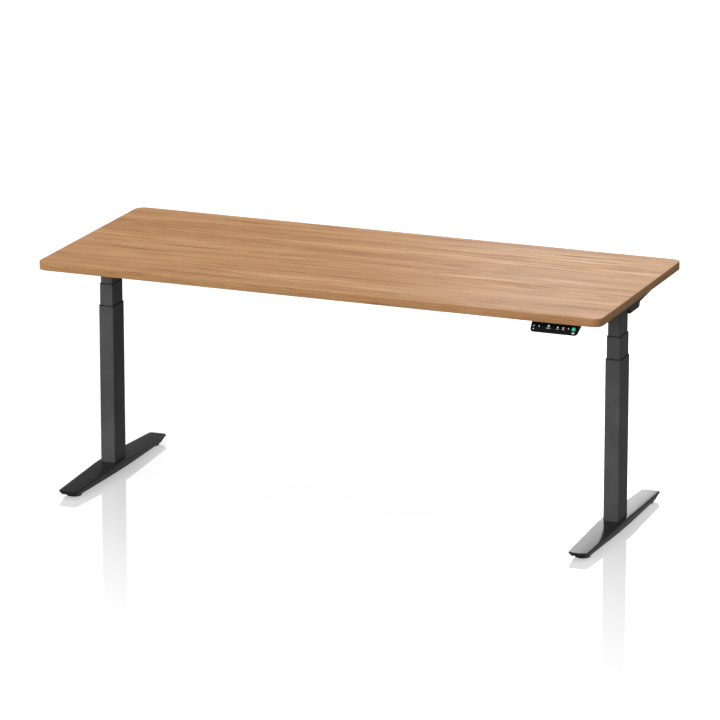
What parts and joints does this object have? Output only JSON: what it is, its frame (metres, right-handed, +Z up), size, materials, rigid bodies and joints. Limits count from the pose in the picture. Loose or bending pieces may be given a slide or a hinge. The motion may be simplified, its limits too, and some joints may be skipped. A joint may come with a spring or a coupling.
{
  "type": "height adjustable standing desk",
  "caption": "Electric sit-stand desk: long wood board on telescopic steel columns with flared feet, levelling glides and a touch control panel under the front edge.",
  "frame": {"origin": "on the floor under the middle of the board", "axes": "+X along the board's length to the user's right, +Y away from the user, +Z up"},
  "size_m": [1.8, 0.75, 0.75],
  "materials": {
    "wood_laminate": "satin oak laminate with grain along the length",
    "wood_edge": "satin oak edge band",
    "black_steel": "fine black powder coat",
    "bare_steel": "machined",
    "bronze": "machined bronze",
    "guide_plastic": "black acetal",
    "cast_aluminium": "as cast",
    "motor_can": "dark satin",
    "black_plastic": "fine moulded texture",
    "glide_plastic": "matte",
    "black_fastener": "black oxide",
    "zinc_fastener": "zinc plated",
    "circuit_board": "solder mask",
    "touch_face": "high gloss black",
    "icon_white": "printed and backlit marks"
  },
  "bodies": {
    "base": {"left_foot": "black_steel", "left_column_post": "bare_steel", "left_lower_nut": "bronze", "left_outer_tube": "black_steel", "left_outer_collar": "guide_plastic", "right_foot": "black_steel", "right_column_post": "bare_steel", "right_lower_nut": "bronze", "right_outer_tube": "black_steel", "right_outer_collar": "guide_plastic", "foot_bolts": "black_fastener"},
    "top": {"left_inner_tube": "black_steel", "left_inner_pads": "guide_plastic", "left_gear_housing": "cast_aluminium", "left_motor": "motor_can", "left_motor_cover": "black_plastic", "left_side_bracket": "black_steel", "right_inner_tube": "black_steel", "right_inner_pads": "guide_plastic", "right_gear_housing": "cast_aluminium", "right_motor": "motor_can", "right_motor_cover": "black_plastic", "right_side_bracket": "black_steel", "front_rail_sleeve": "black_steel", "front_rail_slider": "black_steel", "rear_rail_sleeve": "black_steel", "rear_rail_slider": "black_steel", "spindle_bearings": "bare_steel", "head_screws": "black_fastener", "frame_bolts": "black_fastener", "wood_screws": "zinc_fastener", "tabletop": "wood_laminate", "edge_band": "wood_edge", "control_box_shell": "black_plastic", "control_box_lid": "black_steel", "port_block": "black_plastic", "control_board": "circuit_board", "panel_housing": "black_plastic", "panel_glass": "touch_face", "panel_icons": "icon_white"},
    "left_middle": {"left_middle_tube": "black_steel", "left_middle_collar": "guide_plastic", "left_middle_pads": "guide_plastic", "left_carrier": "bare_steel"},
    "left_hollow_screw": {"left_hollow_spindle": "bare_steel"},
    "left_drive_screw": {"left_drive_spindle": "bare_steel", "left_bevel_gear": "bare_steel"},
    "left_motor_shaft": {"left_bevel_pinion": "bare_steel"},
    "left_front_glide": {"left_front_leveller": "glide_plastic"},
    "left_rear_glide": {"left_rear_leveller": "glide_plastic"},
    "right_middle": {"right_middle_tube": "black_steel", "right_middle_collar": "guide_plastic", "right_middle_pads": "guide_plastic", "right_carrier": "bare_steel"},
    "right_hollow_screw": {"right_hollow_spindle": "bare_steel"},
    "right_drive_screw": {"right_drive_spindle": "bare_steel", "right_bevel_gear": "bare_steel"},
    "right_motor_shaft": {"right_bevel_pinion": "bare_steel"},
    "right_front_glide": {"right_front_leveller": "glide_plastic"},
    "right_rear_glide": {"right_rear_leveller": "glide_plastic"}
  },
  "joints": [
    {"name": "desk_lift", "type": "slide", "parent": "base", "child": "top", "axis": [0, 0, 1], "range_m": [-0.105, 0.545]},
    {"name": "left_middle_lift", "type": "slide", "parent": "base", "child": "left_middle", "axis": [0, 0, 1], "range_m": [-0.0525, 0.2725]},
    {"name": "left_hollow_spin", "type": "hinge", "parent": "left_middle", "child": "left_hollow_screw", "pos_m": [-0.8256, 0, 0.5], "axis": [0, 0, 1], "range_deg": [-946, 4906]},
    {"name": "left_drive_spin", "type": "hinge", "parent": "top", "child": "left_drive_screw", "pos_m": [-0.8256, 0, 0.6], "axis": [0, 0, 1], "range_deg": [-1891, 9811]},
    {"name": "left_motor_spin", "type": "hinge", "parent": "top", "child": "left_motor_shaft", "pos_m": [-0.8256, 0.05, 0.686], "axis": [0, 1, 0], "range_deg": [-14716, 2836]},
    {"name": "left_front_level", "type": "slide", "parent": "base", "child": "left_front_glide", "axis": [0, 0, -1], "range_m": [0, 0.008]},
    {"name": "left_rear_level", "type": "slide", "parent": "base", "child": "left_rear_glide", "axis": [0, 0, -1], "range_m": [0, 0.008]},
    {"name": "right_middle_lift", "type": "slide", "parent": "base", "child": "right_middle", "axis": [0, 0, 1], "range_m": [-0.0525, 0.2725]},
    {"name": "right_hollow_spin", "type": "hinge", "parent": "right_middle", "child": "right_hollow_screw", "pos_m": [0.8256, 0, 0.5], "axis": [0, 0, 1], "range_deg": [-946, 4906]},
    {"name": "right_drive_spin", "type": "hinge", "parent": "top", "child": "right_drive_screw", "pos_m": [0.8256, 0, 0.6], "axis": [0, 0, 1], "range_deg": [-1891, 9811]},
    {"name": "right_motor_spin", "type": "hinge", "parent": "top", "child": "right_motor_shaft", "pos_m": [0.8256, 0.05, 0.686], "axis": [0, 1, 0], "range_deg": [-14716, 2836]},
    {"name": "right_front_level", "type": "slide", "parent": "base", "child": "right_front_glide", "axis": [0, 0, -1], "range_m": [0, 0.008]},
    {"name": "right_rear_level", "type": "slide", "parent": "base", "child": "right_rear_glide", "axis": [0, 0, -1], "range_m": [0, 0.008]}
  ],
  "couplings": [
    {"joint": "left_middle_lift", "follows": "desk_lift", "ratio": 0.5},
    {"joint": "left_hollow_spin", "follows": "desk_lift", "rad_per_m": 157.08},
    {"joint": "left_drive_spin", "follows": "desk_lift", "rad_per_m": 314.16},
    {"joint": "left_motor_spin", "follows": "desk_lift", "rad_per_m": -471.24},
    {"joint": "right_middle_lift", "follows": "desk_lift", "ratio": 0.5},
    {"joint": "right_hollow_spin", "follows": "desk_lift", "rad_per_m": 157.08},
    {"joint": "right_drive_spin", "follows": "desk_lift", "rad_per_m": 314.16},
    {"joint": "right_motor_spin", "follows": "desk_lift", "rad_per_m": -471.24}
  ]
}
